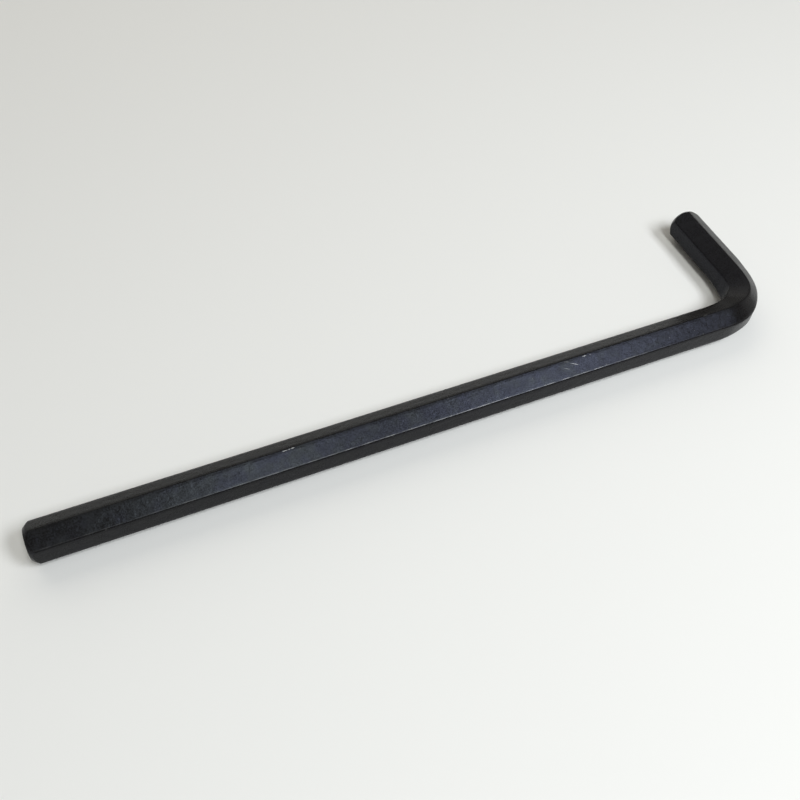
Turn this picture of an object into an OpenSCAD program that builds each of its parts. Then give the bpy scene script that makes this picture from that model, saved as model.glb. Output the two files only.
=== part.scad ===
// Long arm hex key: one bar of hexagonal steel with a single right-angle bend.
// It lies on its side, on the lowest long edge of both arms.
// The long arm runs along X, the short arm points along +Y, and the origin is
// in the middle of the key's box, on the surface that it lies on.

/* [Hexagon] */
// Width of the bar across its flats, which is the size of the key
across_flats = 10; // [6:0.5:14]
// Radius on the six long edges of the bar
edge_radius = 0.5; // [0.2:0.05:1]

/* [Arms] */
// Length of the long arm, from its end to the outer flat of the short arm
long_arm = 234; // [140:1:340]
// Length of the short arm, from its end to the outer flat of the long arm
short_arm = 50; // [36:1:80]

/* [Bend] */
// Radius on the inside of the bend, at the inner flat
inside_radius = 10; // [6:0.5:14]

/* [Tips] */
// Length of the chamfer on each tip, measured along a long edge
chamfer_length = 1.6; // [0.8:0.1:2.4]
// Angle between the chamfer and the arm's axis
chamfer_angle = 40; // [30:1:50]

/* [Hidden] */
// Colour of blackened steel
black_oxide = [0.17, 0.175, 0.185];
// Smoothness of the bend and the tips, and steps in the arc of each long edge
$fn = 96;
edge_steps = 6;
// Number of sides of the bar, and half the angle that each side covers
sides = 6;
half_side = 180 / sides;
// Distance from the bar's axis to a flat, and to where two flats would meet
flat_reach = across_flats / 2;
sharp_reach = flat_reach / cos(half_side);
// Centre of a long edge's rounding, and the reach of the rounded edge
edge_centre = sharp_reach - edge_radius / cos(half_side);
edge_reach = edge_centre + edge_radius;
// Radius of the bend at the bar's axis, and from the bend's centre to the outer flat
axis_radius = inside_radius + flat_reach;
outside_radius = inside_radius + across_flats;
// Straight stretch of each arm, from the bend to its end
long_straight = long_arm - outside_radius;
short_straight = short_arm - outside_radius;
// Radius of the flat face that the chamfer leaves at the end of a tip
face_radius = edge_reach - chamfer_length * tan(chamfer_angle);
// The chamfer's cut runs this far past the long edges
cut_clearance = 1;
cut_reach = edge_reach + cut_clearance;
cut_length = (cut_reach - face_radius) / tan(chamfer_angle);
// Where the middle of the key's box lies, seen from the centre of the bend
box_middle = [outside_radius - long_arm / 2, short_arm / 2 - outside_radius, -edge_reach];

// Section of the bar: a hexagon on its corner, with a small arc at each corner
module bar_section() {
    polygon([
        for (side = [0 : sides - 1], step = [0 : edge_steps])
            let (corner = (2 * side + 1) * half_side,
                 turn = corner + half_side * (2 * step / edge_steps - 1))
            edge_centre * [cos(corner), sin(corner)] + edge_radius * [cos(turn), sin(turn)]
    ]);
}

// Ring that leaves a cone and a round end face, with its top at the arm's end
module chamfer_ring() {
    rotate_extrude()
        polygon([
            [face_radius, 0],
            [cut_reach, -cut_length],
            [cut_reach, 0]
        ]);
}

// Straight stretch of bar along +Z, chamfered at its far end
module arm(length) {
    difference() {
        linear_extrude(height = length)
            bar_section();
        translate([0, 0, length])
            chamfer_ring();
    }
}

// Quarter turn of the bar about the bend's centre, from the long arm to the short one
module bend() {
    rotate([0, 0, -90])
        rotate_extrude(angle = 90)
            translate([axis_radius, 0])
                bar_section();
}

// The whole key in one piece
module hex_key() {
    color(black_oxide)
        translate(-box_middle) {
            bend();
            // Long arm, towards -X
            translate([0, -axis_radius, 0])
                rotate([0, -90, 0])
                    rotate([0, 0, 90])
                        arm(long_straight);
            // Short arm, towards +Y
            translate([axis_radius, 0, 0])
                rotate([-90, 0, 0])
                    arm(short_straight);
        }
}

hex_key();
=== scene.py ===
# %% [markdown]
# A long arm hex key is one bar of hexagonal steel, chamfered at both ends and bent once. This script
# dresses the measured solid of such a key for the camera: it models the bar again with soft edges and
# with the small distortions that bending leaves, gives it a worn black oxide finish, and sets it on a
# pale floor under soft light. Lengths are in metres where nothing else is said, and all places are in
# the solid's own frame.

import math

import bmesh
import bpy
from mathutils import Matrix, Vector


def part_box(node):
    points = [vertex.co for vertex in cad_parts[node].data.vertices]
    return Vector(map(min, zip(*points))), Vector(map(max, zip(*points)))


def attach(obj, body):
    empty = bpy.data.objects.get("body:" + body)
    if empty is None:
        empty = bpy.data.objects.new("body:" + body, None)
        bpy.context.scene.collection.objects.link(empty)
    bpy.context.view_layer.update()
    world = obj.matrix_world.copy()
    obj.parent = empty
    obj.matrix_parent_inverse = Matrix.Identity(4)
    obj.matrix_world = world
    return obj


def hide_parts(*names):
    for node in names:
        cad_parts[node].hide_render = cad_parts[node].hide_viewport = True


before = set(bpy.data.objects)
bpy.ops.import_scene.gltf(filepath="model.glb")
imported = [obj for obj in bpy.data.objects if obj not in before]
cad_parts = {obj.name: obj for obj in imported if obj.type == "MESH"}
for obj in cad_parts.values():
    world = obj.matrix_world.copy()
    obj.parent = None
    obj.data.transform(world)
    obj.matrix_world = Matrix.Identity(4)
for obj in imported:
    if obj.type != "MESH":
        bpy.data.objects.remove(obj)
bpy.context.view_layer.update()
low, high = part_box("hex_key")
print("solid's box:", [round(1000 * (b - a), 2) for a, b in zip(low, high)], "mm")

# %% [markdown]
# The camera comes first, because everything else is judged through it. Its place was worked out from
# the photo: the long edges of the bar run to vanishing points, and the two tips give the scale. The
# picture is a close one with strong perspective, so the near tip looks a quarter thicker than the bend.
# The vanishing points also show that the picture was cropped a little off centre. The small shift of
# the lens stands for that crop, and without it the short arm would lean by a pixel or two.

# %% Camera
CAMERA_AT = Vector((-0.08074, -0.15591, 0.21155))
CAMERA_AIM = Vector((-0.00703, -0.01708, 0.0057))
CAMERA_ROLL = math.radians(5.163)
CAMERA_LENS = 40.323  # mm
CAMERA_SHIFT = (-0.026, 0.011)
SENSOR_WIDTH = 36.0  # mm
NEAREST_SEEN = 0.01

camera_data = bpy.data.cameras.new("photo_camera")
camera_data.lens = CAMERA_LENS
camera_data.shift_x, camera_data.shift_y = CAMERA_SHIFT
camera_data.sensor_width = SENSOR_WIDTH
camera_data.clip_start = NEAREST_SEEN
camera = bpy.data.objects.new("photo_camera", camera_data)
bpy.context.scene.collection.objects.link(camera)
facing = (CAMERA_AIM - CAMERA_AT).to_track_quat("-Z", "Y").to_matrix()
turned = facing @ Matrix.Rotation(CAMERA_ROLL, 3, "Z")
camera.matrix_world = Matrix.Translation(CAMERA_AT) @ turned.to_4x4()
bpy.context.scene.camera = camera
print("camera stands", round((CAMERA_AT - CAMERA_AIM).length, 3), "m from its aim")

# %% [markdown]
# These are the sizes of the key. The box of the solid gives both arms and the height of the axis. The
# width across the flats, the radius inside the bend and the chamfer are the solid's own values.

# %% Sizes
FLATS = 0.010
EDGE_RADIUS = 0.0005
INSIDE_RADIUS = 0.010
CHAMFER_LENGTH = 0.0016
CHAMFER_ANGLE = math.radians(40)
SIDES = 6

half_side = math.pi / SIDES
sharp_reach = FLATS / 2 / math.cos(half_side)
edge_reach = sharp_reach - EDGE_RADIUS / math.cos(half_side) + EDGE_RADIUS
axis_z = (low.z + high.z) / 2
long_axis_y = low.y + FLATS / 2
short_axis_x = high.x - FLATS / 2
bend_radius = INSIDE_RADIUS + FLATS / 2
bend_centre = Vector((short_axis_x - bend_radius, long_axis_y + bend_radius, axis_z))
face_radius = edge_reach - CHAMFER_LENGTH * math.tan(CHAMFER_ANGLE)
print("straight arms:", round(bend_centre.x - low.x, 4), "and", round(high.y - bend_centre.y, 4), "m")

# %% [markdown]
# Edit mode operators act on whatever is selected, so each step selects what it needs by place. These
# helpers do that: the first deselects everything in the scene, and the second selects the parts of a
# mesh whose centre passes a test.

# %% Helpers for selecting
def only(piece):
    """Leaves one object selected and active."""
    bpy.ops.object.select_all(action="DESELECT")
    piece.select_set(True)
    bpy.context.view_layer.objects.active = piece


def pick(piece, test, kind="VERT"):
    """In edit mode, selects the vertices, edges or faces whose centre passes the test."""
    bpy.ops.mesh.select_mode(type=kind)
    bpy.ops.mesh.select_all(action="DESELECT")
    mesh = bmesh.from_edit_mesh(piece.data)
    layers = {"VERT": mesh.verts, "EDGE": mesh.edges, "FACE": mesh.faces}
    found = 0
    for part in layers[kind]:
        if kind == "VERT":
            centre = part.co
        else:
            centre = sum((v.co for v in part.verts), Vector()) / len(part.verts)
        if test(centre):
            part.select = True
            found += 1
    mesh.select_flush_mode()
    bmesh.update_edit_mesh(piece.data)
    return found

# %% [markdown]
# The bar starts as its own section, at the foot of the bend on the long arm: a circle of six points,
# standing on a corner. A bevel on its points rounds the long edges in one go, because every edge that
# is extruded from the section later takes its shape. Rounding the edges after bending would need the
# bevel to run cleanly through the bend, and this way it can't fail.

# %% Section of the bar
EDGE_STEPS = 4

bpy.ops.object.select_all(action="DESELECT")
bpy.ops.mesh.primitive_circle_add(
    vertices=SIDES, radius=sharp_reach, fill_type="NGON", calc_uvs=False,
    location=(bend_centre.x, long_axis_y, axis_z), rotation=(math.pi / 2, 0, math.pi / 2),
)
key = bpy.context.active_object
key.name = key.data.name = "blackened_key"
bpy.ops.object.transform_apply(location=True, rotation=True, scale=True)
bpy.ops.object.mode_set(mode="EDIT")
bpy.ops.mesh.select_all(action="SELECT")
bpy.ops.mesh.bevel(
    offset=EDGE_RADIUS * math.tan(half_side), offset_type="OFFSET",
    segments=EDGE_STEPS, profile=0.5, affect="VERTICES",
)
section = [v.co.copy() for v in bmesh.from_edit_mesh(key.data).verts]
print("section:", len(section), "points,",
      round(1000 * (max(c.z for c in section) - min(c.z for c in section)), 3), "mm tall")

# %% [markdown]
# The section's face is taken out so that only its outline is left, and the outline is then drawn out
# to a tube: spun through a quarter turn for the bend, and extruded straight from both ends of the bend
# for the arms. The two open ends are closed with one face each. Spin and extrude keep the points of
# the outline in step, so the long edges run through the bend without a seam. The first millimetres of
# both arms are drawn out in short steps, because the bend's distortion runs on into them.

# %% Bend and arms
BEND_STEPS = 32
LEAD = 0.006
LEAD_STEPS = 8
SMALL = 1e-5


def near(value, target):
    """True where two lengths agree closely enough to be the same place."""
    return abs(value - target) < SMALL


def draw_arm(at_foot, at_tip, ahead, length):
    """Extrudes one end of the bend straight ahead, in short steps at first, and closes it."""
    pick(key, at_foot, "EDGE")
    for stretch in [LEAD / LEAD_STEPS] * LEAD_STEPS + [length - LEAD]:
        bpy.ops.mesh.extrude_region_move(TRANSFORM_OT_translate={"value": stretch * ahead})
    pick(key, at_tip, "EDGE")
    bpy.ops.mesh.edge_face_add()


bpy.ops.mesh.delete(type="ONLY_FACE")
bpy.ops.mesh.select_all(action="SELECT")
bpy.ops.mesh.spin(steps=BEND_STEPS, angle=-math.pi / 2, center=bend_centre, axis=(0, 0, 1))
draw_arm(lambda c: near(c.x, bend_centre.x), lambda c: near(c.x, low.x),
         Vector((-1, 0, 0)), bend_centre.x - low.x)
draw_arm(lambda c: near(c.y, bend_centre.y), lambda c: near(c.y, high.y),
         Vector((0, 1, 0)), high.y - bend_centre.y)
bpy.ops.mesh.select_all(action="SELECT")
bpy.ops.mesh.normals_make_consistent(inside=False)
bpy.ops.object.mode_set(mode="OBJECT")
print("bar:", len(key.data.vertices), "points,", len(key.data.polygons), "faces")

# %% [markdown]
# The finish needs to know where it is on the bar: how far along, and how far around. While the bar is
# still a clean sweep, both can be read off the place of each point, so the map is written now. It is in
# metres both ways, U along the axis from the middle of the bend and V around the section. Each flat has
# its own stretch of V, with the long edges halfway between the flats' middles.

# %% Map along and around the bar
side_length = FLATS * math.tan(half_side)
half_arc = bend_radius * math.pi / 4


def along_and_out(point):
    """Gives a point's way along the axis from the middle of the bend, and its way out of the bend."""
    if point.x < bend_centre.x:
        return point.x - bend_centre.x - half_arc, long_axis_y - point.y
    if point.y > bend_centre.y:
        return point.y - bend_centre.y + half_arc, point.x - short_axis_x
    turn = math.atan2(point.x - bend_centre.x, bend_centre.y - point.y)
    return turn * bend_radius - half_arc, (point - bend_centre).to_2d().length - bend_radius


around_map = key.data.uv_layers.new(name="along_around")
for face in key.data.polygons:
    _, out = along_and_out(face.center)
    flat = round(math.atan2(face.center.z - axis_z, out) / (2 * half_side))
    across = Vector((-math.sin(2 * half_side * flat), math.cos(2 * half_side * flat)))
    for corner in face.loop_indices:
        place = key.data.vertices[key.data.loops[corner].vertex_index].co
        way, out = along_and_out(place)
        off_middle = across.dot(Vector((out, place.z - axis_z)))
        around_map.data[corner].uv = (way, flat * side_length + off_middle)
print("around the bar:", round(1000 * SIDES * side_length, 2), "mm")

# %% [markdown]
# Bending distorts a thick bar. In the photo the upper ridge runs wider through the bend than a clean
# quarter turn would, the outer flat gets narrower, and the metal on the inside is pressed together: its
# lower edge swells inwards, and its upper edge is pushed up on the long arm's side. The outer side is
# pulled in a little where the arms start. The measured solid leaves this out, and it is put in here.
# Each row of the table moves one long edge, most at its own place along the bar and less towards both
# sides, and rows for the same edge add up. In each section the points of an edge move together.

# %% Distortion of the bend
# angle of the edge in degrees (0 is out of the bend, 90 is up), way out, way up, reach, place along
EDGE_MOVES = [
    (90, 0.0012, 0.0, 0.0097, 0.001),
    (-90, 0.0012, 0.0, 0.0097, 0.001),
    (30, -0.0001, -0.0007, 0.012, 0.001),
    (-30, -0.0001, 0.0007, 0.012, 0.001),
    (30, -0.00045, 0.0, 0.0070, 0.0105),
    (-30, -0.00045, 0.0, 0.0070, 0.0105),
    (-30, -0.0004, 0.0, 0.0060, -0.0090),
    (150, 0.0, 0.0008, 0.0070, -0.0085),
    (150, 0.0004, 0.0, 0.0060, 0.0040),
    (-150, -0.0008, 0.0, 0.0100, 0.0075),
    (-150, -0.0006, 0.0, 0.0070, -0.0040),
]
UP = Vector((0, 0, 1))


def section_at(way):
    """Gives the bar's middle, the way out of the bend and the way ahead, at a place along the axis."""
    turn = min(math.pi / 2, max(0.0, (way + half_arc) / bend_radius))
    outwards = Vector((math.sin(turn), -math.cos(turn), 0))
    ahead = Vector((math.cos(turn), math.sin(turn), 0))
    past = way + half_arc - turn * bend_radius
    return bend_centre + bend_radius * outwards + past * ahead, outwards, ahead


def edge_move(edge, way, outwards):
    """Adds up the table's rows for one long edge at a place along the axis."""
    move = Vector()
    for angle, way_out, way_up, reach, centre in EDGE_MOVES:
        if angle == edge and abs(way - centre) < reach:
            weight = math.cos(math.pi / 2 * (way - centre) / reach) ** 2
            move += weight * (way_out * outwards + way_up * UP)
    return move


only(key)
bpy.ops.object.mode_set(mode="EDIT")
ways = [2 * half_arc * step / BEND_STEPS - half_arc for step in range(BEND_STEPS + 1)]
for step in range(1, LEAD_STEPS):
    ways += [half_arc + LEAD * step / LEAD_STEPS, -half_arc - LEAD * step / LEAD_STEPS]
edges = sorted({row[0] for row in EDGE_MOVES})
most = 0.0
for way in ways:
    middle, outwards, ahead = section_at(way)
    for edge in edges:
        move = edge_move(edge, way, outwards)
        if move.length > SMALL:
            tilt = math.radians(edge)
            away = math.cos(tilt) * outwards + math.sin(tilt) * UP
            corner = middle + (sharp_reach - EDGE_RADIUS) * away
            pick(key, lambda c: (c - corner).length < 2 * EDGE_RADIUS
                 and near((c - middle).dot(ahead), 0))
            bpy.ops.transform.translate(value=move)
            most = max(most, move.length)
bpy.ops.object.mode_set(mode="OBJECT")
print("moved in", len(ways), "sections by up to", round(1000 * most, 2), "mm")

# %% [markdown]
# On the real key a lathe tool turns the chamfer, so the cone runs into the six flats in shallow curves.
# Boolean subtraction gives just that: a ring with a conical inside is made for each tip and taken away
# from the bar. The ring stands a little past the end face, so that no two faces lie in one plane. Its
# conical side is bridged between the small circle in front and the large one at the back.

# %% Chamfers on the tips
TURNED_SIDES = 96
CLEAR = 0.0005
# shares of a distance that tell the two circles of the cone from the ring's other edges
FRONT_ROOM = 1.2
BACK_ROOM = 0.9

cut_reach = edge_reach + CLEAR
slope = math.tan(CHAMFER_ANGLE)


def cut_chamfer(tip, outwards):
    """Takes a ring with a conical inside away from the tip, which points outwards."""
    past = tip + CLEAR * outwards
    inner = face_radius - CLEAR * slope
    back = (cut_reach - inner) / slope
    bpy.ops.object.select_all(action="DESELECT")
    bpy.ops.mesh.primitive_circle_add(
        vertices=TURNED_SIDES, radius=inner, fill_type="NOTHING", calc_uvs=False, location=past,
        rotation=outwards.to_track_quat("Z", "Y").to_euler(),
    )
    ring = bpy.context.active_object
    bpy.ops.object.transform_apply(location=True, rotation=True, scale=True)
    bpy.ops.object.mode_set(mode="EDIT")
    bpy.ops.mesh.select_all(action="SELECT")
    bpy.ops.mesh.extrude_region_move()
    bpy.ops.transform.resize(value=[cut_reach / inner] * 3, center_override=past)
    bpy.ops.mesh.extrude_region_move(TRANSFORM_OT_translate={"value": -back * outwards})
    pick(ring, lambda c: (c - past).length < FRONT_ROOM * inner
         or (past - c).dot(outwards) > BACK_ROOM * back, "EDGE")
    bpy.ops.mesh.bridge_edge_loops()
    bpy.ops.mesh.select_all(action="SELECT")
    bpy.ops.mesh.normals_make_consistent(inside=False)
    bpy.ops.object.mode_set(mode="OBJECT")
    only(key)
    cut = key.modifiers.new("chamfer", "BOOLEAN")
    cut.operation = "DIFFERENCE"
    cut.solver = "EXACT"
    cut.object = ring
    bpy.ops.object.modifier_apply(modifier=cut.name)
    bpy.data.objects.remove(ring)


cut_chamfer(Vector((low.x, long_axis_y, axis_z)), Vector((-1, 0, 0)))
cut_chamfer(Vector((short_axis_x, high.y, axis_z)), Vector((0, 1, 0)))
print("chamfered:", len(key.data.vertices), "points,", len(key.data.polygons), "faces")

# %% [markdown]
# The turned edges of the tips aren't knife sharp: tumbling and blackening take the last crispness off.
# A bevel of a tenth of a millimetre does that. Its angle limit leaves out the long edges, which are
# already round, and lets in the two rims of each chamfer.

# %% Soft rims on the tips
RIM_WIDTH = 0.00012
RIM_STEPS = 2
RIM_ANGLE = math.radians(24)

only(key)
soft = key.modifiers.new("soft_rims", "BEVEL")
soft.width = RIM_WIDTH
soft.segments = RIM_STEPS
soft.limit_method = "ANGLE"
soft.angle_limit = RIM_ANGLE
soft.use_clamp_overlap = True
bpy.ops.object.modifier_apply(modifier=soft.name)
print("with soft rims:", len(key.data.vertices), "points,", len(key.data.polygons), "faces")

# %% [markdown]
# Each flat of an arm is one long face, and smooth shading would lean it towards its neighbours at the
# tip, so that the whole flat mirrors the wrong part of the room. Weighted normals let the large faces
# win: the flats shade truly flat, and only the narrow rounded edges between them are blended.

# %% Shading
SMOOTH_ANGLE = math.radians(25)
LARGE_AREA = 5e-4  # square metres, and only the flats of the long arm are larger

only(key)
bpy.ops.object.shade_smooth_by_angle(angle=SMOOTH_ANGLE)
weighted = key.modifiers.new("weighted_normals", "WEIGHTED_NORMAL")
weighted.keep_sharp = True
bpy.ops.object.modifier_apply(modifier=weighted.name)
lean = max(abs(key.data.corner_normals[corner].vector.x) for face in key.data.polygons
           if face.area > LARGE_AREA for corner in face.loop_indices)
print("largest lean along the flats of the long arm:", round(lean, 4))

# %% [markdown]
# Black oxide isn't paint. The steel is dipped hot, its skin turns to a very thin dark oxide, and a film
# of oil stays in it. So the surface keeps every mark of the steel under it: a fine cloudy mottle where
# the bar was pickled, faint lines along the bar where it was drawn through its die, and bare metal on
# the long edges where keys rub on each other. The material is built up in that order. The mottle and
# its blotches read Object coordinates, and the rest reads the map along and around the bar.

# %% Helpers for the finish
oxide = bpy.data.materials.new("blackened_steel")
oxide.use_nodes = True
tree = oxide.node_tree
shader = tree.nodes["Principled BSDF"]


def feed(socket, source):
    """Sets a socket to a plain value, or links another node's output to it."""
    if isinstance(source, bpy.types.NodeSocket):
        tree.links.new(source, socket)
    else:
        socket.default_value = source


def maths(operation, first, second=0.0, third=0.0):
    """Adds a Math node."""
    node = tree.nodes.new("ShaderNodeMath")
    node.operation = operation
    for socket, source in zip(node.inputs, (first, second, third)):
        feed(socket, source)
    return node.outputs[0]


def spread(value, from_low, from_high, to_low=0.0, to_high=1.0):
    """Adds a Map Range node with soft ends."""
    node = tree.nodes.new("ShaderNodeMapRange")
    node.interpolation_type = "SMOOTHSTEP"
    for name, source in (("Value", value), ("From Min", from_low), ("From Max", from_high),
                         ("To Min", to_low), ("To Max", to_high)):
        feed(node.inputs[name], source)
    return node.outputs["Result"]


def cloud(place, scale, detail=2.0, stretch=(1, 1, 1)):
    """Adds a noise pattern, which may be stretched along an axis."""
    turn = tree.nodes.new("ShaderNodeMapping")
    feed(turn.inputs["Vector"], place)
    turn.inputs["Scale"].default_value = stretch
    node = tree.nodes.new("ShaderNodeTexNoise")
    feed(node.inputs["Vector"], turn.outputs["Vector"])
    node.inputs["Scale"].default_value = scale
    node.inputs["Detail"].default_value = detail
    return node.outputs["Fac"]


def blend(factor, first, second):
    """Adds a colour mix."""
    node = tree.nodes.new("ShaderNodeMix")
    node.data_type = "RGBA"
    feed(node.inputs["Factor"], factor)
    for socket, colour in ((node.inputs["A"], first), (node.inputs["B"], second)):
        feed(socket, colour)
    return node.outputs["Result"]


place = tree.nodes.new("ShaderNodeTexCoord").outputs["Object"]
map_node = tree.nodes.new("ShaderNodeUVMap")
map_node.uv_map = "along_around"
along_around = map_node.outputs["UV"]
split = tree.nodes.new("ShaderNodeSeparateXYZ")
feed(split.inputs[0], along_around)
along, around = split.outputs["X"], split.outputs["Y"]

# %% [markdown]
# First the oxide skin. Three patterns make it: a fine cloudy mottle of less than a millimetre, blotches
# of a few millimetres, and faint lines along the bar from the drawing die. Together they vary the dark
# base tone and the roughness by a little. Seen straight on, the sheen is bluish, in some blotches more
# violet and in others more grey, and greyer towards the tip of the long arm. At a slant it is neutral.
# That is what a very thin oxide film does, and the specular tint of the shader works the same way. The
# mottle goes into the tint too, as darker and lighter grains, so the strength of the sheen itself stays
# one number on the shader. The low IOR was chosen against the photo, to keep the slanted sheen weak.

# %% Oxide skin
OXIDE_DARK = (0.0074, 0.0067, 0.0064, 1)
OXIDE_LIGHT = (0.0099, 0.0092, 0.0089, 1)
SHEEN_VIOLET = (0.62, 0.69, 1.0, 1)
SHEEN_GREY = (0.74, 0.84, 1.0, 1)
SHEEN_NONE = (0.0, 0.0, 0.0, 1)
SHEEN_LEVEL = 0.86
SHEEN_RANGE = (0.5, 1.0)
SHEEN_IOR = 1.2
MOTTLE_SCALE = 2400
BLOTCH_SCALE = 300
HUE_SCALE = 260
DRAWN_STRETCH = (90, 2600, 1)
GREYER_PER_METRE = -1.5
TONE_SPREAD = (0.38, 0.62)
GRAIN_SPREAD = (0.33, 0.67)
HUE_SPREAD = (0.52, 0.92)


def weighed(patterns):
    """Adds up patterns, each times its share."""
    total = 0.0
    for pattern, share in patterns:
        total = maths("MULTIPLY_ADD", pattern, share, total)
    return total


mottle = cloud(place, MOTTLE_SCALE, 3)
blotches = cloud(place, BLOTCH_SCALE, 2)
drawn = cloud(along_around, 1, 2, stretch=DRAWN_STRETCH)
tone = weighed([(drawn, 0.2), (blotches, 0.4), (mottle, 0.4)])
oxide_colour = blend(spread(tone, *TONE_SPREAD), OXIDE_DARK, OXIDE_LIGHT)
sheen = spread(weighed([(blotches, 0.1), (mottle, 0.9)]), *GRAIN_SPREAD, *SHEEN_RANGE)
greyer = maths("MULTIPLY_ADD", along, GREYER_PER_METRE, cloud(place, HUE_SCALE, 3))
hue = spread(greyer, *HUE_SPREAD)
feed(shader.inputs["Specular Tint"], blend(sheen, SHEEN_NONE, blend(hue, SHEEN_VIOLET, SHEEN_GREY)))
shader.inputs["Specular IOR Level"].default_value = SHEEN_LEVEL
shader.inputs["IOR"].default_value = SHEEN_IOR
print("oxide skin:", len(tree.nodes), "nodes so far")

# %% [markdown]
# Where keys rub on each other in a box, the oxide wears off the long edges and bare steel shows. The
# distance to the nearest long edge comes from the map: it runs to and fro between the edges and the
# middles of the flats. Beside the edge between the upright and the upper outer flats runs a thin bright
# line, a little broken, which comes up from the tip of the long arm and dies away before the bend. The
# other edges have only a few rubbed spots.

# %% Rubbed edges
LINE_FROM_EDGE = 0.0004
WEAR_STRETCH = (420, 500, 1)
# each of these is a start and an end, and the strength at the start and at the end
LINE_ACROSS = (0.00002, 0.00018, 1.0, 0.0)
LINE_BREAKS = (0.32, 0.7, 0.07, 0.28)
LINE_COMES = (-0.218, -0.11, 0.25, 1.0)
LINE_GOES = (-0.06, -0.03, 1.0, 0.15)
SPOTS_ACROSS = (0.0001, 0.0004, 1.0, 0.0)
SPOTS_BREAK = (0.62, 0.8, 0.0, 0.12)

half_flat = side_length / 2
from_edge = maths("PINGPONG", maths("ADD", around, half_flat), half_flat)
wear = cloud(along_around, 1, 3, stretch=WEAR_STRETCH)
from_line = maths("ABSOLUTE", maths("SUBTRACT", around, half_flat + LINE_FROM_EDGE))
line = maths("MULTIPLY", spread(from_line, *LINE_ACROSS), spread(wear, *LINE_BREAKS))
for fade in (LINE_COMES, LINE_GOES):
    line = maths("MULTIPLY", line, spread(along, *fade))
spots = maths("MULTIPLY", spread(from_edge, *SPOTS_ACROSS), spread(wear, *SPOTS_BREAK))
bare = maths("MAXIMUM", line, spots)
print("the bright line lies", round(1000 * LINE_FROM_EDGE, 2), "mm from its edge")

# %% [markdown]
# The real key also has single marks: nicks beside the upper ridge, a few short scratches on the upper
# outer flat and some bright specks. Each is one soft oval on the map, with its place along and around
# the bar, its length, its width and its lean. They are written as a table, so that one more mark is one
# more row.

# %% Nicks and scratches
# way along, way around, length and width in mm, lean in degrees, strength
MARKS = [
    (-157.6, 8.20, 1.7, 0.22, 2, 0.38),
    (-156.4, 8.24, 1.0, 0.20, 8, 0.29),
    (-155.4, 8.30, 1.1, 0.22, 0, 0.42),
    (-157.4, 7.30, 0.9, 0.30, 15, 0.04),
    (-153.6, 7.50, 0.8, 0.38, 0, 0.04),
    (-109.0, 8.25, 0.7, 0.19, 0, 0.10),
    (-68.1, 6.62, 2.9, 0.15, -23, 0.38),
    (-64.2, 8.02, 1.6, 0.20, -3, 0.45),
    (-70.4, 7.95, 1.9, 0.20, -14, 0.25),
    (-71.0, 5.95, 2.1, 0.16, -23, 0.22),
    (-62.2, 7.95, 0.7, 0.22, 20, 0.22),
    (-58.2, 3.62, 0.6, 0.26, 0, 0.16),
    (-82.5, 6.35, 0.7, 0.22, 30, 0.10),
    (-103.6, 6.10, 0.6, 0.30, 0, 0.08),
    (-34.8, 5.40, 0.6, 0.34, 0, 0.10),
    (-25.6, 5.10, 0.5, 0.30, 0, 0.10),
    (-23.0, 3.25, 0.5, 0.30, 0, 0.16),
]
MM = 0.001
OVAL_FADE = (0.5, 1.2)

for mark_along, mark_around, length, width, lean, strength in MARKS:
    oval = tree.nodes.new("ShaderNodeMapping")
    oval.vector_type = "TEXTURE"
    feed(oval.inputs["Vector"], along_around)
    oval.inputs["Location"].default_value = (mark_along * MM, mark_around * MM, 0)
    oval.inputs["Rotation"].default_value = (0, 0, math.radians(lean))
    oval.inputs["Scale"].default_value = (length / 2 * MM, width / 2 * MM, 1)
    away = tree.nodes.new("ShaderNodeVectorMath")
    away.operation = "LENGTH"
    feed(away.inputs[0], oval.outputs["Vector"])
    bare = maths("MAXIMUM", bare, spread(away.outputs["Value"], *OVAL_FADE, strength, 0.0))
print("marks:", len(MARKS))

# %% [markdown]
# Bare steel is a metal, and the oxide isn't, so the same mask drives the metallic input and brings in
# the grey of steel. The mask stays well under one, because a worn spot is thinner than a pixel, and
# steel mirrors many times as much as the oxide. The bump has two parts. The mottle stands up by about
# a hundredth of a millimetre. And the flats of a drawn bar fall away softly and a little unevenly,
# within about a millimetre of each long edge, which shows as a dark gradient beside the upper ridge.

# %% Bare steel, roughness and bump
BARE_STEEL = (0.45, 0.45, 0.45, 1)
FALL_WIDTH = 0.0011
FALL_DEPTH = 0.00005
FALL_VARIES = (0.3, 0.7, 0.8, 1.3)
MOTTLE_DEPTH = 0.000011
ROUGHNESS = (0.25, 0.33)

feed(shader.inputs["Base Color"], blend(bare, oxide_colour, BARE_STEEL))
feed(shader.inputs["Metallic"], bare)
feed(shader.inputs["Roughness"], spread(tone, *TONE_SPREAD, *ROUGHNESS))
fall = spread(from_edge, 0.0, FALL_WIDTH, 0.0, FALL_DEPTH)
fall = maths("MULTIPLY", fall, spread(wear, *FALL_VARIES))
height = maths("MULTIPLY_ADD", mottle, MOTTLE_DEPTH, fall)
bump = tree.nodes.new("ShaderNodeBump")
bump.inputs["Distance"].default_value = 1.0
feed(bump.inputs["Height"], height)
feed(shader.inputs["Normal"], bump.outputs["Normal"])
key.data.materials.clear()
key.data.materials.append(oxide)
print("finish:", len(tree.nodes), "nodes")

# %% [markdown]
# The photo was taken on white and cut out, so its background says nothing about the floor. A plain
# pale floor lies under the key here, and it is a part of the light as well: in the camera's view the
# upright outer flats mirror the floor just in front of the key, and the upper inner flats mirror the far
# end of it at a slant.

# %% Floor
FLOOR_WIDTH = 4
PAPER_LOOK = {"Base Color": (0.84, 0.84, 0.84, 1), "Roughness": 0.8, "Specular IOR Level": 0.2}

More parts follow.
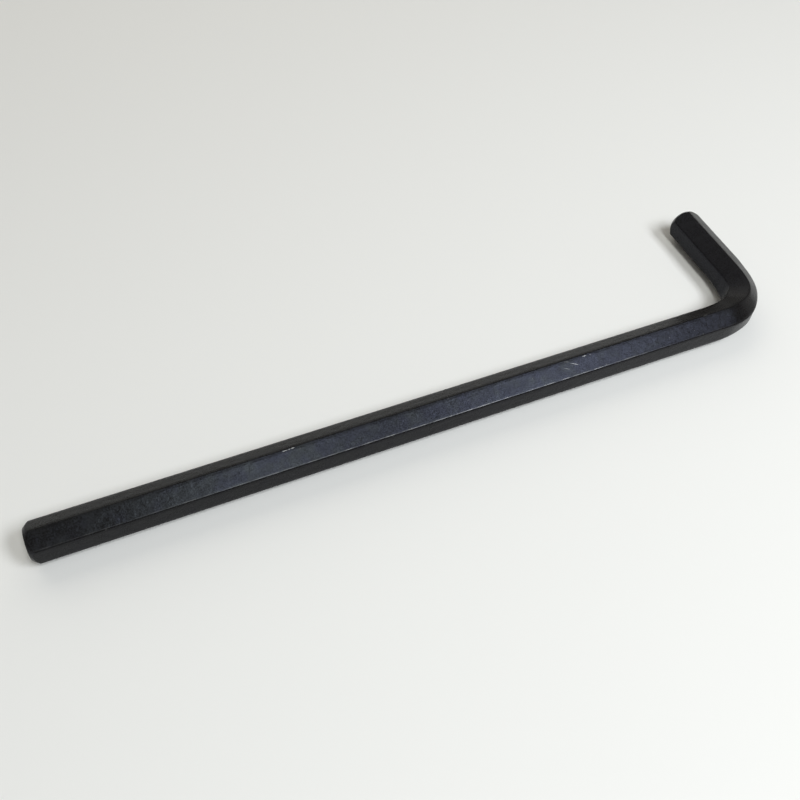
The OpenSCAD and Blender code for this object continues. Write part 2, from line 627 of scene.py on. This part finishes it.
bpy.ops.object.select_all(action="DESELECT")
bpy.ops.mesh.primitive_plane_add(size=FLOOR_WIDTH, location=(0, 0, 0))
floor = bpy.context.active_object
floor.name = "floor"
paper = bpy.data.materials.new("pale_floor")
paper.use_nodes = True
for name, value in PAPER_LOOK.items():
    paper.node_tree.nodes["Principled BSDF"].inputs[name].default_value = value
floor.data.materials.append(paper)
print("floor:", FLOOR_WIDTH, "m wide")

# %% [markdown]
# A dark satin surface shows the lights rather than its own colour, so the lamps are placed by what each
# flat of the bar mirrors towards the camera. The upper outer flat mirrors the space overhead, a little
# in front of the key: in the photo it is dark at the near tip, has one soft bright stretch, dips, and is
# brightest towards the bend. So two faintly cool panels hang there, a narrow one and a wide one. The
# right end of the outer side and the short arm mirror a weak panel, low on the right. A large warm panel
# far behind lights the floor and the upper inner flats. The outer side mirrors the strip of floor just
# in front of the key, which has to stay darker, and the key itself shades that strip from this panel.

# %% Lamps
def panel(name, place, width, length, radiance, colour, level=False):
    """Sets up a lamp that hangs level or faces the origin, by the brightness a camera sees in it."""
    data = bpy.data.lights.new(name, "AREA")
    data.shape = "RECTANGLE"
    data.size = width
    data.size_y = length
    data.energy = radiance * math.pi * width * length
    data.color = colour
    lamp = bpy.data.objects.new(name, data)
    lamp.location = place
    if not level:
        lamp.rotation_euler = lamp.location.to_track_quat("Z", "Y").to_euler()
    bpy.context.scene.collection.objects.link(lamp)


panel("overhead_left", (0.045, -0.59, 0.85), 0.17, 0.56, 14.8, (0.97, 1.0, 0.97), level=True)
panel("overhead_right", (0.49, -0.59, 0.85), 0.33, 0.56, 15.6, (0.95, 0.98, 1.0), level=True)
panel("low_right", (0.90, -0.15, 0.25), 0.3, 0.3, 0.6, (1.0, 0.96, 0.85))
panel("behind", (0.0, 0.72, 0.62), 1.3, 0.9, 0.82, (1.0, 0.95, 0.82))

# %% [markdown]
# The room around the lamps is the world. It is dim overhead, where the upper outer flats mirror it, and
# gets brighter towards the far side, which the upper inner flats mirror at a slant. A grey wall runs
# low around the whole floor, and a pale patch of ceiling hangs straight above. The photo shows neither,
# but a plain dark room would leave the key black from every other side. The helpers for the finish add
# their nodes to `tree`, so they build the room too, once `tree` is the world's own.

# %% Room
DIM = 0.06
WALL = 0.24
CEILING = 0.5
ROOM_COLOUR = (1.0, 0.98, 0.92, 1)
# each of these is a start and an end, as a part of the unit vector of sight
WALL_ENDS = (0.15, 0.55)
FAR_SIDE_COMES = (0.2, 1.0)
CEILING_COMES = (0.94, 0.985)

world = bpy.data.worlds.new("studio")
bpy.context.scene.world = world
world.use_nodes = True
tree = world.node_tree
direction = tree.nodes.new("ShaderNodeSeparateXYZ")
feed(direction.inputs[0], tree.nodes.new("ShaderNodeTexCoord").outputs["Generated"])
wall = spread(direction.outputs["Z"], *WALL_ENDS, WALL, 0.0)
far_side = spread(direction.outputs["Y"], *FAR_SIDE_COMES, 0.0, WALL)
ceiling = spread(direction.outputs["Z"], *CEILING_COMES, DIM, DIM + CEILING)
room = tree.nodes["Background"]
room.inputs["Color"].default_value = ROOM_COLOUR
feed(room.inputs["Strength"], maths("ADD", maths("MAXIMUM", wall, far_side), ceiling))
bpy.context.scene.view_settings.view_transform = "Standard"
print("room:", len(tree.nodes), "nodes")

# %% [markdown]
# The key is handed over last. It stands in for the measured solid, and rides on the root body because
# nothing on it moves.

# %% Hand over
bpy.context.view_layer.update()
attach(key, "root")
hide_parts("hex_key")
